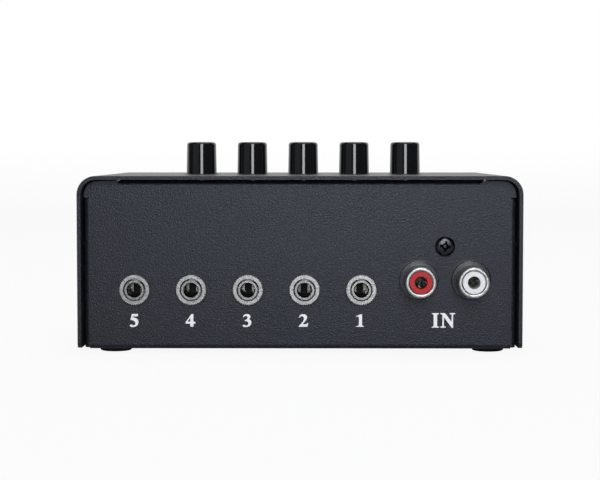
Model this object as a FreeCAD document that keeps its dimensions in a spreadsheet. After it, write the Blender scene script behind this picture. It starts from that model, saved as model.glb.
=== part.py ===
import FreeCAD, Part
import Sketcher

import os
import re

# Speaker selector switch: a small folded steel box with five latching push buttons on top, and
# five 3.5 mm output jacks and a pair of phono input sockets in its recessed end panel.
# X runs along the panel, with the phono sockets at +X. The socket side faces -Y. Z is up, and
# the rubber feet stand on Z = 0. The origin is on the floor, in the middle of the footprint.

# Millimetres, and degrees for the one angle
SIZES = [
    # Folded steel case
    ("sheet_gauge", 1.0),
    ("cover_bend_radius", 5.0),
    ("cover_corner_radius", 1.5),
    ("cover_side_lift", 0.6),
    ("panel_recess", 4.0),
    ("panel_gap", 0.4),
    ("tray_bend_radius", 1.2),
    ("side_flange_depth", 10.0),
    ("top_flange_depth", 7.0),
    ("corner_tab_width", 9.8),
    ("corner_tab_height", 4.8),
    ("bend_relief", 0.6),
    ("bend_relief_depth", 0.6),
    ("side_relief", 0.35),
    ("bend_margin", 0.1),
    ("corner_notch", 0.4),
    # Rubber feet, stuck on by hand
    ("foot_diameter", 8.8),
    ("foot_height", 1.65),
    ("foot_edge_radius", 0.6),
    ("left_foot_inset", 8.5),
    ("right_foot_inset", 7.7),
    ("foot_end_inset", 15.4),
    # Screws, all of one thread
    ("thread_diameter", 3.0),
    ("thread_clearance", 0.05),
    ("pan_head_diameter", 5.3),
    ("pan_head_height", 1.8),
    ("pan_edge_radius", 0.9),
    ("pan_crown", 0.25),
    ("low_head_height", 1.5),
    ("low_edge_radius", 0.5),
    ("countersunk_head_diameter", 5.2),
    ("countersink_clearance", 0.05),
    ("drive_span", 3.1),
    ("drive_root_span", 0.6),
    ("drive_wing_width", 0.7),
    ("drive_core_diameter", 1.9),
    ("drive_core_root", 0.3),
    ("drive_depth", 1.3),
    ("cover_screw_length", 5.0),
    ("cover_screw_rise", 28.0),
    ("cover_screw_setback", 5.0),
    ("base_screw_grip", 4.0),
    ("board_screw_grip", 4.4),
    ("phono_screw_grip", 6.0),
    ("screw_hole_clearance", 0.2),
    # Boards and the standoffs between them
    ("board_thickness", 1.6),
    ("board_side_gap", 5.1),
    ("board_panel_gap", 0.5),
    ("main_board_rim", 10.0),
    ("switch_board_rim", 4.0),
    ("lower_standoff_length", 8.0),
    ("upper_standoff_length", 18.0),
    ("standoff_across_flats", 5.5),
    ("standoff_stud_grip", 4.4),
    ("standoff_bore_spare", 0.8),
    ("standoff_side_inset", 6.0),
    ("standoff_behind_buttons", 4.7),
    ("standoff_row_spacing", 26.0),
    ("lead_hole_clearance", 0.15),
    ("lead_tail", 1.0),
    # Ribbon cable between the boards
    ("header_width", 16.0),
    ("header_depth", 5.0),
    ("header_height", 6.0),
    ("ribbon_width", 12.7),
    ("ribbon_thickness", 0.9),
    ("ribbon_lift", 3.0),
    ("ribbon_leg", 3.0),
    # Output jacks
    ("jack_side_inset", 15.05),
    ("jack_pitch", 15.24),
    ("jack_axis_height", 5.5),
    ("jack_width", 11.0),
    ("jack_length", 12.5),
    ("jack_top_rise", 5.0),
    ("jack_bore_diameter", 3.6),
    ("jack_mouth_flare", 0.25),
    ("jack_mouth_depth", 0.8),
    ("bushing_thread_diameter", 6.0),
    ("bushing_end_chamfer", 0.4),
    ("bushing_proud", 0.4),
    ("bushing_flange_diameter", 8.0),
    ("bushing_flange_thickness", 1.0),
    ("bushing_sleeve_diameter", 5.2),
    ("bushing_sleeve_length", 4.5),
    ("bushing_clearance", 0.05),
    ("panel_hole_clearance", 0.1),
    ("nut_diameter", 8.3),
    ("nut_thickness", 2.0),
    ("nut_hub_diameter", 6.9),
    ("nut_hub_step", 0.12),
    ("nut_chamfer", 0.1),
    ("knurl_groove_radius", 0.2),
    ("knurl_depth", 0.26),
    ("chamber_width", 9.2),
    ("chamber_floor", 2.2),
    ("chamber_end_wall", 1.0),
    ("contact_gauge", 0.3),
    ("contact_height", 2.6),
    ("contact_point_setback", 5.5),
    ("contact_lip_flare", 1.0),
    ("tip_contact_reach", 0.75),
    ("ring_contact_reach", 1.15),
    ("contact_lead_width", 0.8),
    ("contact_lead_inset", 0.5),
    ("contact_slot_clearance", 0.1),
    ("sleeve_contact_width", 1.0),
    ("sleeve_contact_setback", 2.0),
    # Phono input sockets
    ("jack_phono_spacing", 15.49),
    ("phono_pitch", 14.0),
    ("phono_side_inset", 13.5),
    ("phono_axis_height", 8.1),
    ("phono_tip_length", 9.8),
    ("phono_shell_diameter", 8.3),
    ("phono_neck_diameter", 7.9),
    ("phono_shell_bore", 6.0),
    ("phono_shell_seat", 4.0),
    ("phono_lip_radius", 0.5),
    ("phono_fit_clearance", 0.03),
    ("phono_leg_width", 2.0),
    ("phono_leg_gauge", 0.4),
    ("phono_leg_setback", 2.8),
    ("insulator_recess", 0.25),
    ("insulator_bore", 3.4),
    ("insulator_bore_depth", 5.5),
    ("phono_contact_diameter", 4.1),
    ("phono_contact_wall", 0.35),
    ("phono_contact_waist", 0.3),
    ("phono_drill_point", 0.8),
    ("phono_waist_setback", 1.8),
    ("phono_contact_slit", 0.35),
    ("phono_finger_length", 5.0),
    ("phono_contact_tail_width", 1.2),
    ("collar_diameter", 10.4),
    ("collar_height", 1.0),
    ("collar_edge_radius", 0.2),
    ("collar_lip", 0.35),
    ("collar_lip_rise", 0.4),
    ("collar_groove", 0.3),
    ("collar_groove_depth", 0.8),
    ("collar_hole_clearance", 0.2),
    ("phono_block_side", 7.5),
    ("phono_block_depth", 10.0),
    ("phono_block_top", 5.6),
    ("phono_boss_width", 8.0),
    ("phono_boss_margin", 3.5),
    ("phono_screw_rise", 9.1),
    # Latching push switches and their caps
    ("button_pitch", 15.15),
    ("button_row_shift", 0.6),
    ("button_setback", 52.4),
    ("button_rear_inset", 27.6),
    ("button_travel", 2.5),
    ("switch_width", 8.5),
    ("switch_height", 8.8),
    ("switch_top_wall", 1.0),
    ("switch_headroom", 6.7),
    ("switch_base_thickness", 0.8),
    ("switch_base_clearance", 0.05),
    ("plunger_foot_width", 6.0),
    ("plunger_foot_height", 3.0),
    ("plunger_foot_clearance", 0.15),
    ("plunger_top_clearance", 0.1),
    ("stem_width", 3.2),
    ("stem_clearance", 0.1),
    ("stem_grip", 3.7),
    ("spring_hole_diameter", 2.5),
    ("spring_hole_depth", 6.5),
    ("spring_coil_diameter", 1.9),
    ("spring_wire_diameter", 0.3),
    ("spring_pitch", 1.1),
    ("latch_groove_width", 2.0),
    ("latch_groove_depth", 0.9),
    ("latch_pin_diameter", 0.5),
    ("latch_pin_height", 4.8),
    ("latch_hook", 0.6),
    ("terminal_row_spacing", 4.5),
    ("terminal_pitch", 2.0),
    ("terminal_width", 0.6),
    ("terminal_gauge", 0.3),
    ("terminal_rise", 0.5),
    ("cap_top_diameter", 8.65),
    ("cap_draft_angle", 1.0),
    ("cap_rise", 9.45),
    ("cap_crown", 0.15),
    ("cap_edge_radius", 0.85),
    ("cap_press_clearance", 0.3),
    ("cap_hole_gap", 0.35),
    ("cap_socket_clearance", 0.05),
]

OUTPUTS = [1, 2, 3, 4, 5]
KNURL_TEETH = 44

# Edges within this distance of a wanted place are the wanted ones
TOUCHING = 0.001

doc = FreeCAD.newDocument("SpeakerSelector")
sheet = doc.addObject("Spreadsheet::Sheet", "Sizes")
for row, (alias, number) in enumerate(SIZES, 1):
    sheet.set(f"A{row}", alias.replace("_", " "))
    sheet.set(f"B{row}", str(number))
    sheet.setAlias(f"B{row}", alias)
doc.recompute()


def bound(formula):
    """The formula with each size's name written as a cell of the sheet."""
    return re.sub(r"\b[a-z][a-z_]+\b(?!\()", lambda word: f"Sizes.{word.group()}", formula)


def size(formula):
    """What a formula of sizes comes to."""
    return float(sheet.evalExpression(bound(formula)))


def bind(piece, **formulas):
    """Tie properties of an object to formulas of sizes."""
    for name, formula in formulas.items():
        piece.setExpression(name, bound(formula))


def put(piece, x="0", y="0", z="0"):
    """Tie an object's position to formulas of sizes."""
    for axis, formula in zip("xyz", (x, y, z)):
        piece.setExpression(f"Placement.Base.{axis}", bound(formula))


# Heights, from the floor up through the stack of boards to the cover
tray_bottom = "foot_height"
floor_top = "(foot_height + sheet_gauge)"
board_bottom = f"({floor_top} + lower_standoff_length)"
board_top = f"({board_bottom} + board_thickness)"
switch_board_bottom = f"({board_top} + upper_standoff_length)"
switch_board_top = f"({switch_board_bottom} + board_thickness)"
cover_inside = f"({switch_board_top} + switch_height + switch_headroom)"
cover_top = f"({cover_inside} + sheet_gauge)"
panel_top = f"({cover_inside} - panel_gap)"
jack_axis = f"({board_top} + jack_axis_height)"
phono_axis = f"({board_top} + phono_axis_height)"
cover_screw_height = f"({tray_bottom} + cover_screw_rise)"

# Places along the panel. The case is as wide as its row of sockets needs
jack_row = f"({len(OUTPUTS) - 1} * jack_pitch)"
half_width = (f"((jack_side_inset + {jack_row} + jack_phono_spacing + phono_pitch"
              " + phono_side_inset) / 2)")
cover_inner_x = f"({half_width} - sheet_gauge)"
tray_half = f"({cover_inner_x} - panel_gap)"
flat_half = f"({tray_half} - tray_bend_radius - bend_margin)"
board_half = f"({tray_half} - sheet_gauge - board_side_gap)"
standoff_x = f"({board_half} - standoff_side_inset)"
end_jack_x = f"(jack_side_inset - {half_width})"
phono_left_x = f"({end_jack_x} + {jack_row} + jack_phono_spacing)"
phono_right_x = f"({phono_left_x} + phono_pitch)"
phono_middle_x = f"({phono_left_x} + phono_pitch / 2)"
end_button_x = "(button_row_shift - 2 * button_pitch)"
left_foot_x = f"(left_foot_inset - {half_width})"
right_foot_x = f"({half_width} - right_foot_inset)"

# Places from the socket side to the far side
case_depth = "(button_setback + button_rear_inset)"
front_edge = f"((phono_tip_length - panel_recess - {case_depth}) / 2)"
rear_edge = f"({front_edge} + {case_depth})"
panel_face = f"({front_edge} + panel_recess)"
panel_back = f"({panel_face} + sheet_gauge)"
rear_face = f"({rear_edge} - panel_recess)"
button_row = f"({front_edge} + button_setback)"
rear_standoff_y = f"({button_row} + standoff_behind_buttons)"
front_standoff_y = f"({rear_standoff_y} - standoff_row_spacing)"

FACING_OUT = FreeCAD.Rotation(FreeCAD.Vector(1, 0, 0), 90)
FACING_IN = FreeCAD.Rotation(FreeCAD.Vector(1, 0, 0), -90)
FACING_DOWN = FreeCAD.Rotation(FreeCAD.Vector(1, 0, 0), 180)
FACING_RIGHT = FreeCAD.Rotation(FreeCAD.Vector(0, 1, 0), 90)
FACING_LEFT = FreeCAD.Rotation(FreeCAD.Vector(0, 1, 0), -90)
UPRIGHT = FreeCAD.Rotation()

# The phono screw came to rest with its cross recess turned a little clockwise
PHONO_SCREW_FACING = FACING_OUT * FreeCAD.Rotation(FreeCAD.Vector(0, 0, 1), -9)


def new_body(name):
    """An empty body for one solid piece."""
    return doc.addObject("PartDesign::Body", name)


def datum(body, role):
    """One of a body's own origin planes or axes."""
    return [item for item in body.Origin.OriginFeatures if item.Role == role][0]


def both_sides(width):
    """The span that a width takes when it is centred on zero."""
    return f"-({width}) / 2", f"({width}) / 2"


def around(middle, width):
    """The span that a width takes when it is centred on a place."""
    return f"({middle} - ({width}) / 2)", f"({middle} + ({width}) / 2)"


def inward(outer, sign, start, end):
    """The span between two depths below an outer face, in the direction of the sign."""
    places = [f"({outer} {sign} ({start}))", f"({outer} {sign} ({end}))"]
    return tuple(places) if sign == "+" else tuple(reversed(places))


def box(body, name, x, y, z, cut=False):
    """A block between two formulas on each axis, added to a body or cut from it."""
    kind = "PartDesign::SubtractiveBox" if cut else "PartDesign::AdditiveBox"
    block = body.newObject(kind, name)
    lengths = [f"{high} - ({low})" for low, high in (x, y, z)]
    bind(block, Length=lengths[0], Width=lengths[1], Height=lengths[2])
    put(block, x[0], y[0], z[0])
    return block


def rod(body, name, radius, length, at=("0", "0", "0"), facing=UPRIGHT, cut=False):
    """A round bar or bore that starts at a place and runs the way it faces."""
    kind = "PartDesign::SubtractiveCylinder" if cut else "PartDesign::AdditiveCylinder"
    bar = body.newObject(kind, name)
    bar.Placement.Rotation = facing
    bind(bar, Radius=radius, Height=length)
    put(bar, *at)
    return bar


def closed_outline(body, name, role, points, domed_side=None):
    """A closed sketch through points of formulas. A domed side is an arc about the V axis."""
    sketch = body.newObject("Sketcher::SketchObject", name)
    sketch.AttachmentSupport = [(datum(body, role), "")]
    sketch.MapMode = "FlatFace"
    corners = [FreeCAD.Vector(size(across), size(up), 0) for across, up in points]
    for number, corner in enumerate(corners):
        after = corners[(number + 1) % len(corners)]
        side = Part.LineSegment(corner, after)
        if number == domed_side:
            rise = after.y - corner.y
            radius = (corner.x ** 2 + rise ** 2) / (2 * rise)
            half_way = (radius ** 2 - corner.x ** 2 / 4) ** 0.5 - radius
            side = Part.Arc(corner, FreeCAD.Vector(corner.x / 2, after.y + half_way, 0), after)
        sketch.addGeometry(side, False)
    for number, (across, up) in enumerate(points):
        corner = corners[number]
        after = (number + 1) % len(corners)
        sketch.addConstraint(Sketcher.Constraint("Coincident", number, 2, after, 1))
        for kind, place, formula in (("DistanceX", corner.x, across), ("DistanceY", corner.y, up)):
            tie = sketch.addConstraint(Sketcher.Constraint(kind, -1, 1, number, 1, place))
            sketch.setExpression(f"Constraints[{tie}]", bound(formula))
    if domed_side is not None:
        sketch.addConstraint(Sketcher.Constraint("PointOnObject", domed_side, 3, -2))
    return sketch


def turned(body, name, points, domed_side=None):
    """A piece turned about the Z axis from an outline of radii and heights."""
    sketch = closed_outline(body, f"{name}Outline", "XZ_Plane", points, domed_side)
    turning = body.newObject("PartDesign::Revolution", name)
    turning.Profile = sketch
    turning.ReferenceAxis = (sketch, ["V_Axis"])
    turning.Angle = 360
    return turning


def straight_edges(feature, along, **wanted):
    """Names of a feature's edges that run along an axis through the wanted places."""
    doc.recompute()
    places = {axis: [size(formula) for formula in wanted[axis]] for axis in wanted}
    names = []
    for number, edge in enumerate(feature.Shape.Edges, 1):
        bounds = edge.BoundBox
        lengths = {"x": bounds.XLength, "y": bounds.YLength, "z": bounds.ZLength}
        crosswise = [lengths[axis] for axis in "xyz" if axis != along]
        if max(crosswise) > TOUCHING or lengths[along] < TOUCHING:
            continue
        near = [any(abs(getattr(bounds.Center, axis) - place) < TOUCHING for place in places[axis])
                for axis in places]
        if all(near):
            names.append(f"Edge{number}")
    return names


def rims(feature, radius, axis, place):
    """Names of a feature's round edges of one radius at one place along an axis."""
    doc.recompute()
    names = []
    for number, edge in enumerate(feature.Shape.Edges, 1):
        if edge.Degenerated or not isinstance(edge.Curve, Part.Circle):
            continue
        if abs(edge.Curve.Radius - size(radius)) > TOUCHING:
            continue
        if abs(getattr(edge.Curve.Center, axis) - size(place)) < TOUCHING:
            names.append(f"Edge{number}")
    return names


def rounded(body, name, feature, edges, radius):
    """Round the named edges of a feature."""
    fillet = body.newObject("PartDesign::Fillet", name)
    fillet.Base = (feature, edges)
    bind(fillet, Radius=radius)
    return fillet


def in_a_row(body, name, features, length, count):
    """Repeat features along X, evenly spaced over a length."""
    row = body.newObject("PartDesign::LinearPattern", name)
    row.Originals = features
    row.Direction = (datum(body, "X_Axis"), [""])
    bind(row, Length=length)
    row.Occurrences = count
    body.Tip = row
    return row


def placed(name, pieces, at=("0", "0", "0"), facing=UPRIGHT):
    """Pieces, or copies of them, set down at a place."""
    copy = doc.addObject("Part::Compound", name)
    copy.Links = pieces
    copy.Placement.Rotation = facing
    put(copy, *at)
    return copy


nodes = []


def add_node(label, pieces, at=("0", "0", "0"), facing=UPRIGHT):
    """A named sub-part of the selector, made of one or more pieces set down at a place."""
    node = placed(label, pieces, at, facing)
    node.Label = label
    nodes.append(node)


# The same four corners carry the base screws, the standoffs and the board screws
standoff_places = [(x, y) for x in (f"-{standoff_x}", standoff_x)
                   for y in (front_standoff_y, rear_standoff_y)]
thread_radius = "(thread_diameter / 2)"
tapped_radius = f"({thread_radius} + thread_clearance)"
screw_hole_radius = f"({thread_radius} + screw_hole_clearance)"
cover_screw_rows = [f"({panel_face} + cover_screw_setback)",
                    f"({rear_face} - cover_screw_setback)"]


def make_top_cover():
    """The folded cover: a top and two sides, open at both ends."""
    cover = new_body("CoverBody")
    side_bottom = f"({tray_bottom} + cover_side_lift)"
    block = box(cover, "CoverBlock", both_sides(f"2 * {half_width}"), (front_edge, rear_edge),
                (side_bottom, cover_top))
    shoulders = straight_edges(block, "y", z=[cover_top])
    bends = rounded(cover, "CoverBends", block, shoulders, "cover_bend_radius")
    doc.recompute()
    open_faces = []
    for number, face in enumerate(bends.Shape.Faces, 1):
        middle = face.BoundBox.Center
        at_an_end = face.BoundBox.YLength < TOUCHING
        if at_an_end or abs(middle.z - size(side_bottom)) < TOUCHING:
            open_faces.append(f"Face{number}")
    shell = cover.newObject("PartDesign::Thickness", "CoverSheet")
    shell.Base = (bends, open_faces)
    shell.Reversed = True
    bind(shell, Value="sheet_gauge")
    corners = straight_edges(shell, "x", y=[front_edge, rear_edge], z=[side_bottom])
    rounded(cover, "CoverCorners", shell, corners, "cover_corner_radius")

    cap_at_cover = "(cap_top_diameter / 2 + cap_rise * tan(cap_draft_angle))"
    hole = rod(cover, "ButtonHole", f"{cap_at_cover} + cap_hole_gap", "3 * sheet_gauge",
               (end_button_x, button_row, f"{cover_inside} - sheet_gauge"), cut=True)
    in_a_row(cover, "ButtonHoles", [hole], "4 * button_pitch", len(OUTPUTS))

    mouth = "(countersunk_head_diameter / 2 + countersink_clearance)"
    for side, start, facing in (("Right", cover_inner_x, FACING_RIGHT),
                                ("Left", f"-{cover_inner_x}", FACING_LEFT)):
        for row, y in enumerate(cover_screw_rows, 1):
            seat = cover.newObject("PartDesign::SubtractiveCone", f"{side}Countersink{row}")
            seat.Placement.Rotation = facing
            bind(seat, Radius1=f"{mouth} - sheet_gauge", Radius2=mouth, Height="sheet_gauge")
            put(seat, start, y, cover_screw_height)
    add_node("top_cover", [cover])


def make_base_tray():
    """The folded tray: a floor and two end panels, each with bent flanges and flat corner tabs."""
    tray = new_body("TrayBody")
    ends = [("Front", panel_face, "+"), ("Rear", rear_face, "-")]
    sides = [("Right", tray_half, "-"), ("Left", f"(-{tray_half})", "+")]
    bend_start = f"({panel_top} - tray_bend_radius - bend_margin)"
    tab_bottom = f"({panel_top} - corner_tab_height)"
    notch_top = f"({tray_bottom} + corner_notch)"
    inner_bend = "tray_bend_radius - sheet_gauge"
    faces = [face for end, face, sign in ends]
    backs = [f"{face} {sign} sheet_gauge" for end, face, sign in ends]

    flat_x = both_sides(f"2 * {flat_half}")
    box(tray, "Floor", flat_x, (panel_face, rear_face), (tray_bottom, floor_top))
    for end, face, sign in ends:
        last = box(tray, f"{end}Panel", flat_x, inward(face, sign, "0", "sheet_gauge"),
                   (tray_bottom, bend_start))
    outer = straight_edges(last, "x", y=faces, z=[tray_bottom])
    last = rounded(tray, "FloorBendsOutside", last, outer, "tray_bend_radius")
    inner = straight_edges(last, "x", y=backs, z=[floor_top])
    rounded(tray, "FloorBendsInside", last, inner, inner_bend)

    flange_x = both_sides(f"2 * ({tray_half} - corner_tab_width)")
    for end, face, sign in ends:
        box(tray, f"{end}TopEdge", flange_x, inward(face, sign, "0", "sheet_gauge"),
            (bend_start, panel_top))
        last = box(tray, f"{end}TopFlange", flange_x, inward(face, sign, "0", "top_flange_depth"),
                   (f"{panel_top} - sheet_gauge", panel_top))
    outer = straight_edges(last, "x", y=faces, z=[panel_top])
    last = rounded(tray, "TopBendsOutside", last, outer, "tray_bend_radius")
    inner = straight_edges(last, "x", y=backs, z=[f"{panel_top} - sheet_gauge"])
    rounded(tray, "TopBendsInside", last, inner, inner_bend)

    for end, face, sign in ends:
        for side, edge, toward in sides:
            box(tray, f"{end}{side}Edge", inward(edge, toward, "0", "tray_bend_radius + bend_margin"),
                inward(face, sign, "0", "sheet_gauge"), (notch_top, tab_bottom))
            last = box(tray, f"{end}{side}Flange", inward(edge, toward, "0", "sheet_gauge"),
                       inward(face, sign, "0", "side_flange_depth"), (notch_top, tab_bottom))
    edges_x = [edge for side, edge, toward in sides]
    insides_x = [f"{edge} {toward} sheet_gauge" for side, edge, toward in sides]
    outer = straight_edges(last, "z", x=edges_x, y=faces)
    last = rounded(tray, "SideBendsOutside", last, outer, "tray_bend_radius")
    inner = straight_edges(last, "z", x=insides_x, y=backs)
    rounded(tray, "SideBendsInside", last, inner, inner_bend)

    for end, face, sign in ends:
        for side, edge, toward in sides:
            box(tray, f"{end}{side}TabTop", inward(edge, toward, "0", "corner_tab_width - bend_relief"),
                inward(face, sign, "0", "sheet_gauge"), (bend_start, panel_top))
            box(tray, f"{end}{side}TabRoot",
                inward(edge, toward, "corner_tab_width - bend_relief", "corner_tab_width"),
                inward(face, sign, "0", "sheet_gauge"), (bend_start, f"{panel_top} - bend_relief_depth"))
            last = box(tray, f"{end}{side}TabSide",
                       inward(edge, toward, "0", "tray_bend_radius + bend_margin"),
                       inward(face, sign, "0", "sheet_gauge"), (f"{tab_bottom} + side_relief", bend_start))
    corners = straight_edges(last, "y", x=edges_x, z=[panel_top])
    rounded(tray, "TabCorners", last, corners, "cover_bend_radius - sheet_gauge - panel_gap")

    through = "3 * sheet_gauge"
    before_panel = f"{panel_face} - sheet_gauge"
    jack_hole = rod(tray, "JackHole", "bushing_thread_diameter / 2 + panel_hole_clearance", through,
                    (end_jack_x, before_panel, jack_axis), FACING_IN, cut=True)
    in_a_row(tray, "JackHoles", [jack_hole], jack_row, len(OUTPUTS))
    collar_hole = rod(tray, "CollarHole", "collar_diameter / 2 + collar_hole_clearance", through,
                      (phono_left_x, before_panel, phono_axis), FACING_IN, cut=True)
    in_a_row(tray, "CollarHoles", [collar_hole], "phono_pitch", 2)
    rod(tray, "PhonoScrewHole", screw_hole_radius, through,
        (phono_middle_x, before_panel, f"{phono_axis} + phono_screw_rise"), FACING_IN, cut=True)
    for row, y in enumerate(cover_screw_rows, 1):
        rod(tray, f"FlangeHoles{row}", tapped_radius, f"2 * {tray_half}",
            (f"-{tray_half}", y, cover_screw_height), FACING_RIGHT, cut=True)
    for number, (x, y) in enumerate(standoff_places, 1):
        rod(tray, f"FloorHole{number}", screw_hole_radius, through,
            (x, y, f"{tray_bottom} - sheet_gauge"), cut=True)
    add_node("base_tray", [tray])


def make_rubber_feet():
    """Four plain round stick-on feet under the tray."""
    foot = new_body("FootBody")
    disc = rod(foot, "FootDisc", "foot_diameter / 2", "foot_height")
    rounded(foot, "FootEdge", disc, rims(disc, "foot_diameter / 2", "z", "0"), "foot_edge_radius")
    rows = [f"({front_edge} + foot_end_inset)", f"({rear_edge} - foot_end_inset)"]
    places = [(x, y, "0") for x in (left_foot_x, right_foot_x) for y in rows]
    add_node("rubber_feet", [placed("Foot", [foot], place) for place in places])


def cut_drive(body, top):
    """The cross recess for a screwdriver: wings that narrow downwards around a tapered core."""
    root = f"({top} - drive_depth)"
    for name, plane in (("DriveAcross", "XZ_Plane"), ("DriveUp", "YZ_Plane")):
        outline = closed_outline(body, f"{name}Outline", plane, [
            ("-drive_span / 2", top), ("-drive_root_span / 2", root), ("drive_root_span / 2", root),
            ("drive_span / 2", top)])
        wings = body.newObject("PartDesign::Pocket", name)
        wings.Profile = outline
        wings.Midplane = True
        bind(wings, Length="drive_wing_width")
    core = body.newObject("PartDesign::SubtractiveCone", "DriveCore")
    bind(core, Radius1="drive_core_root / 2", Radius2="drive_core_diameter / 2", Height="drive_depth")
    put(core, z=root)


def pan_screw(name, length, head_height, edge_radius):
    """A pan head screw standing on the underside of its head at Z = 0, its shank pointing down."""
    screw = new_body(name)
    head = "pan_head_diameter / 2"
    shoulder = f"{head_height} - pan_crown"
    blank = turned(screw, f"{name}Blank", [
        ("0", f"-({length})"), (thread_radius, f"-({length})"), (thread_radius, "0"), (head, "0"),
        (head, shoulder), ("0", head_height)], domed_side=4)
    rounded(screw, f"{name}Edge", blank, rims(blank, head, "z", shoulder), edge_radius)
    cut_drive(screw, head_height)
    return screw


def make_screws():
    """Countersunk screws in the cover's sides, and pan heads in the base, boards and panel."""
    cover_screw = new_body("CoverScrewBody")
    head = "countersunk_head_diameter / 2"
    turned(cover_screw, "CoverScrewBlank", [
        ("0", "-cover_screw_length"), (thread_radius, "-cover_screw_length"),
        (thread_radius, "-sheet_gauge"), (f"{head} - sheet_gauge", "-sheet_gauge"), (head, "0"),
        ("0", "0")])
    cut_drive(cover_screw, "0")
    cover_screws = []
    for side, facing in ((half_width, FACING_RIGHT), (f"-{half_width}", FACING_LEFT)):
        for y in cover_screw_rows:
            cover_screws.append(placed("CoverScrew", [cover_screw], (side, y, cover_screw_height), facing))
    add_node("cover_screws", cover_screws)

    base_screw = pan_screw("BaseScrewBody", "sheet_gauge + base_screw_grip", "low_head_height",
                           "low_edge_radius")
    board_screw = pan_screw("BoardScrewBody", "board_thickness + board_screw_grip",
                            "pan_head_height", "pan_edge_radius")
    add_node("base_screws", [placed("BaseScrew", [base_screw], (x, y, tray_bottom), FACING_DOWN)
                             for x, y in standoff_places])
    add_node("board_screws", [placed("BoardScrew", [board_screw], (x, y, switch_board_top))
                              for x, y in standoff_places])

    phono_screw = pan_screw("PhonoScrewBody", "sheet_gauge + phono_screw_grip",
                            "pan_head_height", "pan_edge_radius")
    add_node("phono_screw", [phono_screw],
             (phono_middle_x, panel_face, f"{phono_axis} + phono_screw_rise"), PHONO_SCREW_FACING)


def make_standoffs():
    """Hexagon standoffs: the lower ones end in a stud that screws up into the upper ones."""
    corner_radius = "standoff_across_flats / 2 / cos(30)"
    lower = new_body("LowerStandoffBody")
    bar = lower.newObject("PartDesign::AdditivePrism", "LowerHexagon")
    bar.Polygon = 6
    bind(bar, Circumradius=corner_radius, Height="lower_standoff_length")
    rod(lower, "Stud", thread_radius, "board_thickness + standoff_stud_grip",
        ("0", "0", "lower_standoff_length"))
    rod(lower, "LowerBore", tapped_radius, "base_screw_grip + standoff_bore_spare", cut=True)

    upper = new_body("UpperStandoffBody")
    bar = upper.newObject("PartDesign::AdditivePrism", "UpperHexagon")
    bar.Polygon = 6
    bind(bar, Circumradius=corner_radius, Height="upper_standoff_length")
    rod(upper, "StudBore", tapped_radius, "standoff_stud_grip + standoff_bore_spare", cut=True)
    rod(upper, "ScrewBore", tapped_radius, "board_screw_grip + standoff_bore_spare",
        ("0", "0", "upper_standoff_length"), FACING_DOWN, cut=True)
    add_node("lower_standoffs", [placed("LowerStandoff", [lower], (x, y, floor_top))
                                 for x, y in standoff_places])
    add_node("upper_standoffs", [placed("UpperStandoff", [upper], (x, y, board_top))
                                 for x, y in standoff_places])


# Where the leads of the jacks, the sockets and the switches go through the boards
chamber_end = "(jack_length - chamber_end_wall)"
contact_x = "(chamber_width / 2 - contact_gauge / 2)"
contact_lead_y = f"({chamber_end} - contact_lead_inset - contact_lead_width / 2)"
sleeve_contact_y = "(sleeve_contact_setback + contact_gauge / 2)"
contact_hole = "(contact_lead_width / 2 + lead_hole_clearance)"
sleeve_hole = "(sleeve_contact_width / 2 + lead_hole_clearance)"
phono_leg_y = "(phono_leg_setback + phono_leg_gauge / 2)"
phono_wall_middle = "((phono_neck_diameter + phono_shell_bore) / 4)"
phono_tail_y = "(phono_block_depth + phono_leg_gauge / 2)"
phono_leg_hole = "(phono_leg_width / 2 + lead_hole_clearance)"
phono_tail_hole = "(phono_contact_tail_width / 2 + lead_hole_clearance)"
terminal_hole = "(terminal_width / 2 + lead_hole_clearance)"
terminal_places = [(x, f"{step} * terminal_pitch")
                   for x in ("-terminal_row_spacing / 2", "terminal_row_spacing / 2")
                   for step in (-1, 0, 1)]


def lead_depth(axis_height):
    """How far below its axis a socket's leads end, under the main board."""
    return f"({axis_height} + board_thickness + lead_tail)"


def board_hole(board, name, bottom, radius, x, y):
    """A round hole through a circuit board."""
    return rod(board, name, radius, "3 * board_thickness", (x, y, f"{bottom} - board_thickness"), cut=True)


def make_main_board():
    """The board on the floor of the tray, which carries the jacks and the phono sockets."""
    board = new_body("MainBoardBody")
    box(board, "MainBoardSheet", both_sides(f"2 * {board_half}"),
        (f"{panel_back} + board_panel_gap", f"{rear_standoff_y} + main_board_rim"),
        (board_bottom, board_top))
    for number, (x, y) in enumerate(standoff_places, 1):
        board_hole(board, f"StandoffHole{number}", board_bottom, screw_hole_radius, x, y)
    lead_y = f"{panel_back} + {contact_lead_y}"
    jack_leads = [
        board_hole(board, "TipLeadHole", board_bottom, contact_hole, f"{end_jack_x} + {contact_x}", lead_y),
        board_hole(board, "RingLeadHole", board_bottom, contact_hole, f"{end_jack_x} - {contact_x}", lead_y),
        board_hole(board, "SleeveLeadHole", board_bottom, sleeve_hole, end_jack_x,
                   f"{panel_back} + {sleeve_contact_y}")]
    in_a_row(board, "JackLeadHoles", jack_leads, jack_row, len(OUTPUTS))
    phono_leads = [
        board_hole(board, "ShellLegHole", board_bottom, phono_leg_hole, phono_left_x,
                   f"{panel_back} + {phono_leg_y}"),
        board_hole(board, "ContactTailHole", board_bottom, phono_tail_hole, phono_left_x,
                   f"{panel_back} + {phono_tail_y}")]
    in_a_row(board, "PhonoLeadHoles", phono_leads, "phono_pitch", 2)
    add_node("main_board", [board])


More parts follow.
